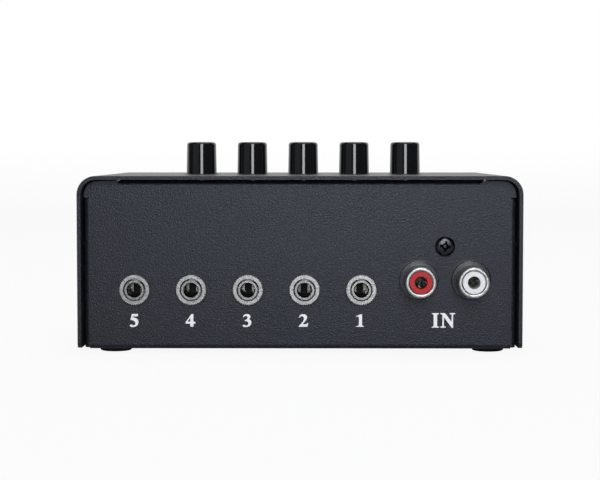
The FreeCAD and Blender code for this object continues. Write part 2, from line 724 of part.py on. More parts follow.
def make_switch_board():
    """The board on the upper standoffs, which carries the five switches."""
    board = new_body("SwitchBoardBody")
    box(board, "SwitchBoardSheet", both_sides(f"2 * {board_half}"),
        (f"{front_standoff_y} - switch_board_rim", f"{rear_standoff_y} + switch_board_rim"),
        (switch_board_bottom, switch_board_top))
    for number, (x, y) in enumerate(standoff_places, 1):
        board_hole(board, f"ScrewHole{number}", switch_board_bottom, screw_hole_radius, x, y)
    leads = [board_hole(board, f"TerminalHole{number}", switch_board_bottom, terminal_hole,
                        f"{end_button_x} + {x}", f"{button_row} + {y}")
             for number, (x, y) in enumerate(terminal_places, 1)]
    in_a_row(board, "TerminalHoles", leads, "4 * button_pitch", len(OUTPUTS))
    add_node("switch_board", [board])


def make_ribbon():
    """A flat ribbon cable that turns back on itself between a header on each board."""
    header_y = (f"({front_standoff_y} - header_depth / 2)", f"({front_standoff_y} + header_depth / 2)")
    heights = [("main_header", (board_top, f"{board_top} + header_height")),
               ("switch_header", (f"{switch_board_bottom} - header_height", switch_board_bottom))]
    for label, z in heights:
        header = new_body(f"{label}_body")
        box(header, f"{label}_block", both_sides("header_width"), header_y, z)
        add_node(label, [header])

    ribbon = new_body("RibbonBody")
    low = f"({board_top} + ribbon_lift)"
    high = f"({switch_board_bottom} - ribbon_lift)"
    middle = f"(({low} + {high}) / 2)"
    turn = f"(({high} - {low}) / 2)"
    turn_y = f"({header_y[1]} + ribbon_leg)"
    wide = both_sides("ribbon_width")
    start_x = "-ribbon_width / 2"
    box(ribbon, "RibbonLegs", wide, (header_y[1], turn_y),
        (f"{low} - ribbon_thickness / 2", f"{high} + ribbon_thickness / 2"))
    rod(ribbon, "RibbonTurn", f"{turn} + ribbon_thickness / 2", "ribbon_width",
        (start_x, turn_y, middle), FACING_RIGHT)
    box(ribbon, "BetweenLegs", wide, (f"{header_y[1]} - ribbon_leg", turn_y),
        (f"{low} + ribbon_thickness / 2", f"{high} - ribbon_thickness / 2"), cut=True)
    rod(ribbon, "InsideTurn", f"{turn} - ribbon_thickness / 2", "ribbon_width",
        (start_x, turn_y, middle), FACING_RIGHT, cut=True)
    box(ribbon, "BehindHeaders", wide, (f"{header_y[0]} - {turn}", header_y[1]),
        (f"{low} - ribbon_thickness", f"{high} + ribbon_thickness"), cut=True)
    add_node("ribbon_cable", [ribbon])


def make_jack_housing():
    """The moulded block of one jack. Its origin is on the jack's axis, at the panel's back."""
    housing = new_body("JackHousingBody")
    box(housing, "JackBlock", both_sides("jack_width"), ("0", "jack_length"),
        ("-jack_axis_height", "jack_top_rise"))
    rod(housing, "FlangeSeat", "bushing_flange_diameter / 2 + bushing_clearance",
        "bushing_flange_thickness", facing=FACING_IN, cut=True)
    rod(housing, "SleeveBore", "bushing_sleeve_diameter / 2 + bushing_clearance",
        "bushing_sleeve_length", facing=FACING_IN, cut=True)
    box(housing, "Chamber", both_sides("chamber_width"), ("bushing_sleeve_length", chamber_end),
        ("-chamber_floor", "jack_top_rise"), cut=True)
    slot_gauge = "contact_gauge + 2 * contact_slot_clearance"
    for side, x in (("Tip", contact_x), ("Ring", f"(-{contact_x})")):
        box(housing, f"{side}LeadSlot", around(x, slot_gauge),
            around(contact_lead_y, "contact_lead_width + 2 * contact_slot_clearance"),
            ("-jack_axis_height", "-chamber_floor"), cut=True)
    box(housing, "SleeveLeadSlot", both_sides("sleeve_contact_width + 2 * contact_slot_clearance"),
        around(sleeve_contact_y, slot_gauge), ("-jack_axis_height", "-jack_bore_diameter / 2"), cut=True)
    return housing


def make_bushing():
    """The threaded metal barrel of a jack, drawn from the panel's back and facing out along Z."""
    bushing = new_body("BushingBody")
    bore = "jack_bore_diameter / 2"
    sleeve = "bushing_sleeve_diameter / 2"
    flange = "bushing_flange_diameter / 2"
    thread = "bushing_thread_diameter / 2"
    end = "(sheet_gauge + nut_thickness + bushing_proud)"
    turned(bushing, "Bushing", [
        (bore, "-bushing_sleeve_length"), (sleeve, "-bushing_sleeve_length"),
        (sleeve, "-bushing_flange_thickness"), (flange, "-bushing_flange_thickness"),
        (flange, "0"), (thread, "0"), (thread, f"{end} - bushing_end_chamfer"),
        (f"{thread} - bushing_end_chamfer", end), (f"{bore} + jack_mouth_flare", end),
        (bore, f"{end} - jack_mouth_depth")])
    return bushing


def make_jack_nut():
    """A round nut with a knurled rim and a slightly raised hub, standing on the panel's face."""
    nut = new_body("JackNutBody")
    bore = "bushing_thread_diameter / 2 + bushing_clearance"
    rim = "nut_diameter / 2"
    rim_top = "(nut_thickness - nut_hub_step)"
    turned(nut, "Nut", [
        (bore, "0"), (f"{rim} - nut_chamfer", "0"), (rim, "nut_chamfer"),
        (rim, f"{rim_top} - nut_chamfer"), (f"{rim} - nut_chamfer", rim_top),
        ("nut_hub_diameter / 2", rim_top), ("nut_hub_diameter / 2", "nut_thickness"),
        (bore, "nut_thickness")])
    groove = rod(nut, "KnurlGroove", "knurl_groove_radius", "nut_thickness",
                 (f"{rim} + knurl_groove_radius - knurl_depth", "0", "0"), cut=True)
    knurl = nut.newObject("PartDesign::PolarPattern", "Knurl")
    knurl.Originals = [groove]
    knurl.Axis = (datum(nut, "Z_Axis"), [""])
    knurl.Angle = 360
    knurl.Occurrences = KNURL_TEETH
    nut.Tip = knurl
    return nut


def make_spring_contact(name, side, reach):
    """A bent strip along one wall of a jack's chamber, its point reaching in to the plug."""
    strip = new_body(f"{name}ContactBody")
    wall = "(chamber_width / 2)"
    inner = f"({wall} - contact_gauge)"
    point_y = f"({chamber_end} - contact_point_setback)"
    elbow_y = f"({point_y} + {inner} - {reach})"
    fold = "contact_gauge * sqrt(2)"
    corners = [
        (inner, chamber_end), (inner, elbow_y), (reach, point_y),
        (f"{reach} + contact_lip_flare", f"{point_y} - contact_lip_flare"),
        (f"{reach} + contact_lip_flare + {fold} / 2", f"{point_y} - contact_lip_flare + {fold} / 2"),
        (f"{reach} + {fold}", point_y), (wall, f"{elbow_y} + contact_gauge - {fold}"),
        (wall, chamber_end)]
    outline = closed_outline(strip, f"{name}Outline", "XY_Plane",
                             [(f"{side} * ({x})", y) for x, y in corners])
    blade = strip.newObject("PartDesign::Pad", f"{name}Blade")
    blade.Profile = outline
    blade.Midplane = True
    bind(blade, Length="contact_height")
    box(strip, f"{name}Lead", around(f"({side} * {contact_x})", "contact_gauge"),
        around(contact_lead_y, "contact_lead_width"), (f"-{lead_depth('jack_axis_height')}", "0"))
    return strip


def make_jacks():
    """Five 3.5 mm jacks soldered to the main board, each held to the panel by a knurled nut."""
    housing = make_jack_housing()
    bushing = make_bushing()
    nut = make_jack_nut()
    sleeve_contact = new_body("SleeveContactBody")
    box(sleeve_contact, "SleeveLead", both_sides("sleeve_contact_width"),
        around(sleeve_contact_y, "contact_gauge"),
        (f"-{lead_depth('jack_axis_height')}", "-bushing_sleeve_diameter / 2"))
    contacts = [make_spring_contact("Tip", "1", "tip_contact_reach"),
                make_spring_contact("Ring", "-1", "ring_contact_reach"), sleeve_contact]
    nuts = []
    for output in OUTPUTS:
        x = f"({end_jack_x} + {len(OUTPUTS) - output} * jack_pitch)"
        at_panel = (x, panel_back, jack_axis)
        add_node(f"jack_{output}_housing", [housing], at_panel)
        add_node(f"jack_{output}_bushing", [bushing], at_panel, FACING_OUT)
        add_node(f"jack_{output}_contacts", contacts, at_panel)
        nuts.append(placed("JackNut", [nut], (x, panel_face, jack_axis), FACING_OUT))
    add_node("jack_nuts", nuts)


# How far in front of the panel's back the block's collars and their raised lips reach
collar_front = "(sheet_gauge + collar_height)"
lip_front = f"({collar_front} + collar_lip_rise)"


def make_phono_block():
    """The moulded block of both phono sockets, with a collar for each and a boss for the screw."""
    block = new_body("PhonoBlockBody")
    columns = [("Left", "(-phono_pitch / 2)"), ("Right", "(phono_pitch / 2)")]
    depth = ("0", "phono_block_depth")
    box(block, "PhonoBlock", both_sides("phono_pitch + 2 * phono_block_side"), depth,
        ("-phono_axis_height", "phono_block_top"))
    box(block, "ScrewBoss", both_sides("phono_boss_width"), depth,
        ("phono_block_top", "phono_screw_rise + phono_boss_margin"))
    for side, x in columns:
        last = rod(block, f"{side}Collar", "collar_diameter / 2", collar_front, (x, "0", "0"), FACING_OUT)
    edges = rims(last, "collar_diameter / 2", "y", f"-{collar_front}")
    rounded(block, "CollarEdges", last, edges, "collar_edge_radius")
    lip = "phono_shell_diameter / 2 + collar_lip"
    for side, x in columns:
        rod(block, f"{side}CollarGroove", f"{lip} + collar_groove", "collar_groove_depth",
            (x, f"-{collar_front}", "0"), FACING_IN, cut=True)
        rod(block, f"{side}CollarLip", lip, lip_front, (x, "0", "0"), FACING_OUT)
        rod(block, f"{side}ShellBore", "phono_neck_diameter / 2 + phono_fit_clearance",
            f"{lip_front} + phono_shell_seat", (x, f"-{lip_front}", "0"), FACING_IN, cut=True)
        rod(block, f"{side}ContactBore", "phono_contact_diameter / 2 + phono_fit_clearance",
            "phono_block_depth - phono_shell_seat", (x, "phono_shell_seat", "0"), FACING_IN, cut=True)
        box(block, f"{side}LegSlot", around(x, "phono_leg_width + 2 * contact_slot_clearance"),
            around(phono_leg_y, "phono_leg_gauge + 2 * contact_slot_clearance"),
            ("-phono_axis_height", f"-{phono_wall_middle}"), cut=True)
    rod(block, "PhonoScrewBore", tapped_radius, "phono_screw_grip + standoff_bore_spare",
        ("0", "0", "phono_screw_rise"), FACING_IN, cut=True)
    add_node("phono_block", [block], (phono_middle_x, panel_back, phono_axis))


def make_phono_sockets():
    """The metal shell, coloured insulator and centre contact of each phono socket."""
    shell = new_body("PhonoShellBody")
    outer = "phono_shell_diameter / 2"
    bore = "phono_shell_bore / 2"
    tip = "(sheet_gauge + phono_tip_length)"
    seat = "-phono_shell_seat"
    neck = "phono_neck_diameter / 2"
    tube = turned(shell, "PhonoShell", [
        (bore, seat), (neck, seat), (neck, lip_front), (outer, lip_front), (outer, tip), (bore, tip)])
    mouth = rims(tube, outer, "z", tip) + rims(tube, bore, "z", tip)
    rounded(shell, "PhonoMouth", tube, mouth, "phono_lip_radius")
    box(shell, "PhonoLeg", both_sides("phono_leg_width"),
        (f"-{lead_depth('phono_axis_height')}", f"-{phono_wall_middle}"),
        around(f"(-{phono_leg_y})", "phono_leg_gauge"))

    insulator = new_body("InsulatorBody")
    front = f"({tip} - insulator_recess)"
    step = f"({front} - insulator_bore_depth)"
    contact_bore = "phono_contact_diameter / 2 + phono_fit_clearance"
    skin = f"{bore} - phono_fit_clearance"
    turned(insulator, "Insulator", [
        ("insulator_bore / 2", front), (skin, front), (skin, seat), (contact_bore, seat),
        (contact_bore, step), ("insulator_bore / 2", step)])

    contact = new_body("PhonoContactBody")
    rear = "(-phono_block_depth - phono_leg_gauge)"
    skin = "(phono_contact_diameter / 2)"
    waist = f"({step} - phono_waist_setback)"
    hips = f"({step} - 2 * phono_waist_setback)"
    inside = f"({skin} - phono_contact_wall)"
    turned(contact, "PhonoContact", [
        ("0", rear), (skin, rear), (skin, hips), (f"{skin} - phono_contact_waist", waist),
        (skin, step), (inside, step), (f"{inside} - phono_contact_waist", waist), (inside, hips),
        (inside, "-phono_block_depth + phono_drill_point"), ("0", "-phono_block_depth")])
    slit = both_sides("phono_contact_slit")
    across = both_sides("2 * phono_contact_diameter")
    fingers = (f"{step} - phono_finger_length", step)
    box(contact, "SlitUp", slit, across, fingers, cut=True)
    box(contact, "SlitAcross", across, slit, fingers, cut=True)
    box(contact, "ContactTail", both_sides("phono_contact_tail_width"),
        (f"-{lead_depth('phono_axis_height')}", "0"), (rear, "-phono_block_depth"))

    for side, x in (("left", phono_left_x), ("right", phono_right_x)):
        at_panel = (x, panel_back, phono_axis)
        add_node(f"phono_{side}_shell", [shell], at_panel, FACING_OUT)
        add_node(f"phono_{side}_insulator", [insulator], at_panel, FACING_OUT)
        add_node(f"phono_{side}_contact", [contact], at_panel, FACING_OUT)


# Heights of a switch's moving parts above the switch board, with the button up
cavity_width = "(plunger_foot_width + 2 * plunger_foot_clearance)"
cavity_top = "(switch_height - switch_top_wall)"
foot_top = f"({cavity_top} - plunger_top_clearance)"
foot_bottom = f"({foot_top} - plunger_foot_height)"
cap_bottom = "(switch_height + button_travel + cap_press_clearance)"
stem_top = f"({cap_bottom} + stem_grip)"
cap_top = f"({cover_top} + cap_rise - {switch_board_top})"


def make_switch_housing():
    """The square case of a switch, open below, with an opening on top for the stem."""
    housing = new_body("SwitchHousingBody")
    side = both_sides("switch_width")
    cavity = both_sides(cavity_width)
    opening = both_sides("stem_width + 2 * stem_clearance")
    box(housing, "SwitchBlock", side, side, ("0", "switch_height"))
    box(housing, "Cavity", cavity, cavity, ("0", cavity_top), cut=True)
    box(housing, "StemOpening", opening, opening, (cavity_top, "switch_height"), cut=True)
    return housing


def make_plunger():
    """The moving slider of a switch: a square foot with a latch groove, and a hollow stem."""
    plunger = new_body("PlungerBody")
    foot = both_sides("plunger_foot_width")
    stem = both_sides("stem_width")
    rear = "(plunger_foot_width / 2)"
    box(plunger, "PlungerFoot", foot, foot, (foot_bottom, foot_top))
    box(plunger, "Stem", stem, stem, (foot_top, stem_top))
    rod(plunger, "SpringHole", "spring_hole_diameter / 2", "spring_hole_depth",
        ("0", "0", foot_bottom), cut=True)
    box(plunger, "LatchGroove", both_sides("latch_groove_width"),
        (f"{rear} - latch_groove_depth", rear), (foot_bottom, foot_top), cut=True)
    return plunger


def make_spring():
    """The return spring, wound upward from the switch's base."""
    spring = new_body("SpringBody")
    wire = spring.newObject("Sketcher::SketchObject", "Wire")
    wire.AttachmentSupport = [(datum(spring, "XZ_Plane"), "")]
    wire.MapMode = "FlatFace"
    coil_radius, wire_radius = "spring_coil_diameter / 2", "spring_wire_diameter / 2"
    middle = FreeCAD.Vector(size(coil_radius), size(wire_radius), 0)
    wire.addGeometry(Part.Circle(middle, FreeCAD.Vector(0, 0, 1), size(wire_radius)), False)
    for constraint, formula in (
            (Sketcher.Constraint("DistanceX", -1, 1, 0, 3, middle.x), coil_radius),
            (Sketcher.Constraint("DistanceY", -1, 1, 0, 3, middle.y), wire_radius),
            (Sketcher.Constraint("Radius", 0, size(wire_radius)), wire_radius)):
        wire.setExpression(f"Constraints[{wire.addConstraint(constraint)}]", bound(formula))
    coil = spring.newObject("PartDesign::AdditiveHelix", "Coil")
    coil.Profile = wire
    coil.ReferenceAxis = (wire, ["V_Axis"])
    coil.Mode = "pitch-height-angle"
    free_length = f"{foot_bottom} + spring_hole_depth - switch_base_thickness"
    bind(coil, Pitch="spring_pitch", Height=f"{free_length} - spring_wire_diameter")
    return spring


def make_cap():
    """A tapered round button cap with a slightly domed top and a square socket for the stem."""
    cap = new_body("CapBody")
    rim = "cap_top_diameter / 2"
    shoulder = f"({cap_top} - cap_crown)"
    skirt = f"{rim} + ({shoulder} - {cap_bottom}) * tan(cap_draft_angle)"
    blank = turned(cap, "Cap", [("0", cap_bottom), (skirt, cap_bottom), (rim, shoulder),
                                ("0", cap_top)], domed_side=2)
    rounded(cap, "CapEdge", blank, rims(blank, rim, "z", shoulder), "cap_edge_radius")
    socket = both_sides("stem_width + 2 * cap_socket_clearance")
    box(cap, "StemSocket", socket, socket, (cap_bottom, stem_top), cut=True)
    return cap


def make_switches():
    """Five latching push switches in a row on the switch board, each with its button cap."""
    housing = make_switch_housing()
    plunger = make_plunger()
    spring = make_spring()
    cap = make_cap()

    base = new_body("SwitchBaseBody")
    base_side = both_sides(f"{cavity_width} - 2 * switch_base_clearance")
    box(base, "SwitchBase", base_side, base_side, ("0", "switch_base_thickness"))
    for number, (x, y) in enumerate(terminal_places, 1):
        box(base, f"TerminalSlot{number}",
            around(f"({x})", "terminal_gauge + 2 * switch_base_clearance"),
            around(f"({y})", "terminal_width + 2 * switch_base_clearance"),
            ("0", "switch_base_thickness"), cut=True)

    terminal = new_body("TerminalBody")
    box(terminal, "Terminal", both_sides("terminal_gauge"), both_sides("terminal_width"),
        ("-board_thickness - lead_tail", "switch_base_thickness + terminal_rise"))

    latch = new_body("LatchPinBody")
    pin_top = "(switch_base_thickness + latch_pin_height)"
    pin_radius = "latch_pin_diameter / 2"
    pin_y = "(plunger_foot_width / 2 - latch_groove_depth / 2)"
    rod(latch, "Pin", pin_radius, "latch_pin_height", ("0", pin_y, "switch_base_thickness"))
    rod(latch, "Hook", pin_radius, "latch_hook", ("0", pin_y, f"{pin_top} - {pin_radius}"), FACING_RIGHT)

    bases, terminals, latches = [], [], []
    for output in OUTPUTS:
        column = f"({end_button_x} + {len(OUTPUTS) - output} * button_pitch)"
        on_board = (column, button_row, switch_board_top)
        on_base = (column, button_row, f"{switch_board_top} + switch_base_thickness")
        add_node(f"switch_{output}_housing", [housing], on_board)
        add_node(f"switch_{output}_plunger", [plunger], on_board)
        add_node(f"switch_{output}_spring", [spring], on_base)
        add_node(f"button_{output}_cap", [cap], on_board)
        bases.append(placed("SwitchBase", [base], on_board))
        latches.append(placed("LatchPin", [latch], on_board))
        for x, y in terminal_places:
            foot = (f"{column} + {x}", f"{button_row} + {y}", switch_board_top)
            terminals.append(placed("SwitchTerminal", [terminal], foot))
    add_node("switch_bases", bases)
    add_node("switch_terminals", terminals)
    add_node("latch_pins", latches)


make_top_cover()
make_base_tray()
make_rubber_feet()
make_screws()
make_standoffs()
make_main_board()
make_switch_board()
make_ribbon()
make_jacks()
make_phono_block()
make_phono_sockets()
make_switches()
doc.recompute()

for item in doc.Objects:
    if "Invalid" in item.State or "Error" in item.State:
        raise RuntimeError(f"{item.Label} could not be built: {item.State}")
for node in nodes:
    if node.Shape.isNull() or not node.Shape.isValid():
        raise RuntimeError(f"{node.Label} is not a valid shape")

os.makedirs("parts", exist_ok=True)
for node in nodes:
    node.Shape.exportStep(f"parts/{node.Label}.step")
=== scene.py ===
import math

import bpy
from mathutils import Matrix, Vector


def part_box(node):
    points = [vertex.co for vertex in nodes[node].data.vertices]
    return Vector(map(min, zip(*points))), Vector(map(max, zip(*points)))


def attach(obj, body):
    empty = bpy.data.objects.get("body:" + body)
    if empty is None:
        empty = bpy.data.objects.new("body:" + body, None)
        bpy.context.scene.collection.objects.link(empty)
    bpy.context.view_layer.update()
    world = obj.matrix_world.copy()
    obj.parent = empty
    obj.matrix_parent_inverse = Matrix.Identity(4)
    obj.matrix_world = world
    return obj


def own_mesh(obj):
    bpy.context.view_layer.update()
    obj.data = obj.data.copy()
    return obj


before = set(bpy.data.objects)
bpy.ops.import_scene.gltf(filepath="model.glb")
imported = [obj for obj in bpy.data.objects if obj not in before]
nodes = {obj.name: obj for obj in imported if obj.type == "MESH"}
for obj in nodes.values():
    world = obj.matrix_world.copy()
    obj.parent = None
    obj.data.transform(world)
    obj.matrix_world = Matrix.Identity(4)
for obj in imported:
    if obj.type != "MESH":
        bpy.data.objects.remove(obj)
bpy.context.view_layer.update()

# The camera stands level with the top of the box and a little to the right of its middle, 43 cm
# in front of it, and looks down very slightly, as the photograph's perspective shows.
MM = 0.001
CAMERA_PLACE = (3.5 * MM, -465.1 * MM, 54.5 * MM)
CAMERA_LENS = 96.5
LOOKS_DOWN = 3.1
TURNED_LEFT = 0.46

lens = bpy.data.cameras.new("studio_lens")
lens.sensor_width = 36.0
lens.lens = CAMERA_LENS
lens.clip_start = 0.01
camera = bpy.data.objects.new("studio_camera", lens)
camera.location = CAMERA_PLACE
camera.rotation_euler = (math.radians(90 - LOOKS_DOWN), 0, math.radians(TURNED_LEFT))
bpy.context.collection.objects.link(camera)
bpy.context.scene.camera = camera
bpy.context.scene.view_settings.view_transform = "Standard"


# The studio: a seamless sheet of white paper that runs under the box and up behind it. It is matt
# and shows up white to the camera and in polished metal. Its floor keeps a faint shadow.
PAPER_FRONT, PAPER_BACK, PAPER_HALF_WIDTH, PAPER_TOP = -2.6, 1.5, 3.0, 2.2
PAPER_CURL = 0.6
CURL_STEPS = 24
PAPER_FIBRE = 0.004
FLOOR_WHITENESS = 0.92
WHITENESS_IN_GLOSS = 0.95
FLOOR_ENDS_AT_HEIGHT = 0.06


class Value:
    """What comes out of a node. Sums and products of values add Math nodes."""

    def __init__(self, nodes_of, socket):
        self.nodes_of = nodes_of
        self.socket = socket

    def maths(self, operation, first, second):
        return self.nodes_of.node("Math", {"operation": operation}, {0: first, 1: second})

    def __add__(self, other):
        return self.maths("ADD", self, other)

    def __mul__(self, other):
        return self.maths("MULTIPLY", self, other)

    __radd__ = __add__
    __rmul__ = __mul__


class NodesOf:
    """The nodes of a material or of the room, with one method that adds any node to them."""

    def __init__(self, owner):
        owner.use_nodes = True
        self.tree = owner.node_tree

    def node(self, kind, settings, sockets, output=0):
        made = self.tree.nodes.new(f"ShaderNode{kind}")
        for name, setting in settings.items():
            if name == "stops":
                for stop, (place, colour) in zip(made.color_ramp.elements, setting):
                    stop.position = place
                    stop.color = colour
            else:
                setattr(made, name, setting)
        for name, value in sockets.items():
            if isinstance(value, Value):
                self.tree.links.new(value.socket, made.inputs[name])
            else:
                made.inputs[name].default_value = value
        return Value(self, made.outputs[output])

    def place(self):
        """The point of the surface, in metres in the object's own frame."""
        return self.node("TexCoord", {}, {}, "Object")

    def along(self, axis):
        """One coordinate of the point of the surface."""
        return self.node("SeparateXYZ", {}, {0: self.place()}, axis)

    def grain(self, size, detail=2.0):
        """Even noise from 0 to 1 with lumps of about one size, in metres."""
        return self.node("TexNoise", {}, {"Vector": self.place(), "Scale": 1 / size, "Detail": detail})

    def ramp(self, value, first, last):
        """A value spread so that it goes from 0 at a first level to 1 at a last one."""
        stops = [(first, (0, 0, 0, 1)), (last, (1, 1, 1, 1))]
        return self.node("ValToRGB", {"stops": stops}, {0: value})

    def mixed(self, amount, first, second):
        """A colour between two colours."""
        return self.node("Mix", {"data_type": "RGBA"}, {0: amount, 6: first, 7: second}, 2)


profile = [(PAPER_FRONT, 0.0), (PAPER_BACK - PAPER_CURL, 0.0)]
for step in range(1, CURL_STEPS):
    turn = math.pi / 2 * step / CURL_STEPS
    profile.append((PAPER_BACK - PAPER_CURL + PAPER_CURL * math.sin(turn),
                    PAPER_CURL - PAPER_CURL * math.cos(turn)))
profile += [(PAPER_BACK, PAPER_CURL), (PAPER_BACK, PAPER_TOP)]
corners = [(side * PAPER_HALF_WIDTH, y, z) for y, z in profile for side in (-1, 1)]
strips = [(2 * i, 2 * i + 1, 2 * i + 3, 2 * i + 2) for i in range(len(profile) - 1)]
paper_mesh = bpy.data.meshes.new("white_paper")
paper_mesh.from_pydata(corners, [], strips)
paper_mesh.polygons.foreach_set("use_smooth", [True] * len(strips))
paper = bpy.data.objects.new("white_paper", paper_mesh)
bpy.context.collection.objects.link(paper)

white_paper = bpy.data.materials.new("white_paper")
paper_nodes = NodesOf(white_paper)
seen_directly = paper_nodes.node("LightPath", {}, {}, "Is Camera Ray")
seen_in_gloss = paper_nodes.node("LightPath", {}, {}, "Is Glossy Ray")
seen_through = paper_nodes.node("LightPath", {}, {}, "Is Transmission Ray")
upright = paper_nodes.ramp(paper_nodes.along("Z"), 0.0, FLOOR_ENDS_AT_HEIGHT)
paper_fibres = paper_nodes.grain(PAPER_FIBRE, 4.0)
matt_paper = paper_nodes.node("BsdfDiffuse", {}, {
    "Color": paper_nodes.mixed(paper_fibres, (0.80, 0.80, 0.80, 1), (0.84, 0.84, 0.84, 1))})
bright_paper = paper_nodes.node("Emission", {}, {"Color": (1, 1, 1, 1), "Strength": 1.0})
white_to_camera = seen_directly * (upright * (1 - FLOOR_WHITENESS) + FLOOR_WHITENESS)
white_in_gloss = (seen_in_gloss + seen_through) * upright * WHITENESS_IN_GLOSS
lit_paper = paper_nodes.node("MixShader", {}, {
    0: white_to_camera + white_in_gloss, 1: matt_paper, 2: bright_paper})
paper_surface = paper_nodes.tree.nodes["Material Output"].inputs["Surface"]
paper_nodes.tree.links.new(lit_paper.socket, paper_surface)
paper_mesh.materials.append(white_paper)


# Soft light from three plain panels in a dim room: a tall softbox just right of the camera, a broad
# one overhead and a large weak one on the left. Beyond the paper the room shows up white.
ROOM_LIGHT = 0.07

bpy.context.scene.world = bpy.data.worlds.new("room")
room = NodesOf(bpy.context.scene.world)
room.tree.nodes["Background"].inputs["Color"].default_value = (0.97, 0.98, 1.0, 1)
room_seen = room.node("LightPath", {}, {}, "Is Camera Ray")
room_strength = room_seen * (1 - ROOM_LIGHT) + ROOM_LIGHT
room.tree.links.new(room_strength.socket, room.tree.nodes["Background"].inputs["Strength"])


def softbox(name, radiance, width, height, place, looks_at):
    """A flat rectangular lamp of one radiance that faces a point."""
    light = bpy.data.lights.new(name, "AREA")
    light.shape = "RECTANGLE"
    light.size = width
    light.size_y = height
    light.energy = radiance * math.pi * width * height
    light.color = (0.94, 0.97, 1.0)
    lamp = bpy.data.objects.new(name, light)
    lamp.location = place
    towards = Vector(looks_at) - Vector(place)
    lamp.rotation_euler = towards.to_track_quat("-Z", "Y").to_euler()
    bpy.context.collection.objects.link(lamp)


softbox("front_softbox", radiance=9.8, width=0.40, height=0.80,
        place=(0.07, -1.15, 0.42), looks_at=(0.0, 0.0, 0.05))
softbox("overhead_softbox", radiance=1.8, width=1.2, height=1.2,
        place=(0.1, 0.1, 1.3), looks_at=(0.0, 0.0, 0.0))
softbox("left_panel", radiance=0.28, width=1.5, height=1.2,
        place=(-1.05, -1.10, 0.62), looks_at=(0.0, 0.0, 0.05))


# The folded steel cover and the tray under it: 1 mm sheet, bent on a press brake and coated with
# a fine-textured black powder that has a slight blue cast; tiny bright grains in its colour are painted
# glints.
POWDER_PIMPLE = 0.42 * MM
PIMPLE_RISE = 0.13 * MM
PAINTED_GLINT_SIZE = 0.36 * MM
PAINTED_GLINT_SHARE = 0.24
POWDER_CLOUD = 9 * MM


class Finish(NodesOf):
    """The finish of one kind of piece: a material around the principled shader."""

    def __init__(self, name, colour, roughness, metallic=0.0):
        self.material = bpy.data.materials.new(name)
        super().__init__(self.material)
        self.shader = self.tree.nodes["Principled BSDF"]
        self.shader.inputs["Base Color"].default_value = (*colour, 1)
        self.shader.inputs["Roughness"].default_value = roughness
        self.shader.inputs["Metallic"].default_value = metallic

    def feed(self, name, value):
        """Let a value that changes over the surface drive one of the shader's sockets."""
        self.tree.links.new(value.socket, self.shader.inputs[name])

    def bump(self, height, depth, strength=1.0):
        """Raise the surface by a height from 0 to 1 times a depth in metres."""
        relief = self.node("Bump", {}, {"Height": height, "Distance": depth, "Strength": strength})
        self.feed("Normal", relief)

    def on(self, *names):
        """Give this finish to nodes of the model."""
        for name in names:
            for slot in nodes[name].material_slots:
                slot.material = self.material


def powder_coat(name, shine, cast):
    """Black textured powder coat of one shine, whose gloss has a colour cast."""
    coat = Finish(name, (0.010, 0.011, 0.016), 0.42)
    coat.shader.inputs["Specular IOR Level"].default_value = shine
    coat.shader.inputs["Specular Tint"].default_value = (*cast, 1)
    pimples = coat.grain(POWDER_PIMPLE, 3.0)
    clouds = coat.grain(POWDER_CLOUD, 3.0)
    # Painted glints: tiny bright grains mixed into the base colour stand in for the sparkle of light on
    # the pimples.
    painted_glints = coat.ramp(coat.grain(PAINTED_GLINT_SIZE, 1.0), 0.60, 0.72)
    ground = coat.mixed(clouds, (0.0080, 0.0085, 0.0105, 1), (0.0115, 0.0125, 0.0175, 1))
    coat.feed("Base Color", coat.mixed(painted_glints * PAINTED_GLINT_SHARE, ground, (0.16, 0.17, 0.21, 1)))
    coat.feed("Roughness", pimples * 0.24 + 0.22)
    coat.bump(pimples, PIMPLE_RISE, 0.75)
    return coat


powder_coat("cover_powder_coat", shine=0.25, cast=(0.94, 0.96, 1.0)).on("top_cover")
powder_coat("tray_powder_coat", shine=0.28, cast=(0.84, 0.88, 1.0)).on("base_tray")


# Four round stick-on feet of solid black rubber under the tray, moulded, dull and slightly dusty.
# Their own adhesive holds them.
DUST_PATCH = 1.2 * MM
RUBBER_GRAIN = 0.2 * MM

foot_rubber = Finish("foot_rubber", (0.008, 0.008, 0.008), 0.85)
foot_rubber.feed("Base Color", foot_rubber.mixed(
    foot_rubber.grain(DUST_PATCH, 4.0), (0.005, 0.005, 0.005, 1), (0.011, 0.011, 0.011, 1)))
foot_rubber.bump(foot_rubber.grain(RUBBER_GRAIN), 0.02 * MM, 0.5)
foot_rubber.on("rubber_feet")


# Cross-recessed steel screws, cold formed and zinc-plated: glossy black where they show on the
# case, and bright on the boards inside. The latch pins are bent from bright steel wire.
WEAR_PATCH = 0.5 * MM


def plated_steel(name, colour, roughness):
    """Plated steel with fine wear in its gloss."""
    plating = Finish(name, colour, roughness, metallic=1.0)
    wear = plating.grain(WEAR_PATCH, 4.0)
    plating.feed("Roughness", wear * 0.16 + (roughness - 0.08))
    plating.bump(wear, 0.01 * MM, 0.4)
    return plating


plated_steel("black_zinc", (0.030, 0.031, 0.034), 0.20).on("phono_screw", "cover_screws", "base_screws")
plated_steel("bright_zinc", (0.55, 0.55, 0.57), 0.32).on("board_screws", "latch_pins")


# White screen-printed characters under the sockets, in a bold upright book face: the number of
# each output, and IN for the input.
OUTPUTS = range(1, 6)
INK_THICKNESS = 0.02 * MM
INK_PATCH = 0.25 * MM
STROKE_SPREAD = 0.035 * MM
CHARACTER_STRETCH = 1.15
PRINT_SHIFT = -0.3 * MM
FIGURE_HEIGHT = 3.35 * MM
FIGURE_BASE = 7.7 * MM
WORD_HEIGHT = 3.85 * MM
WORD_BASE = 7.5 * MM
LETTER_GAP = 0.08

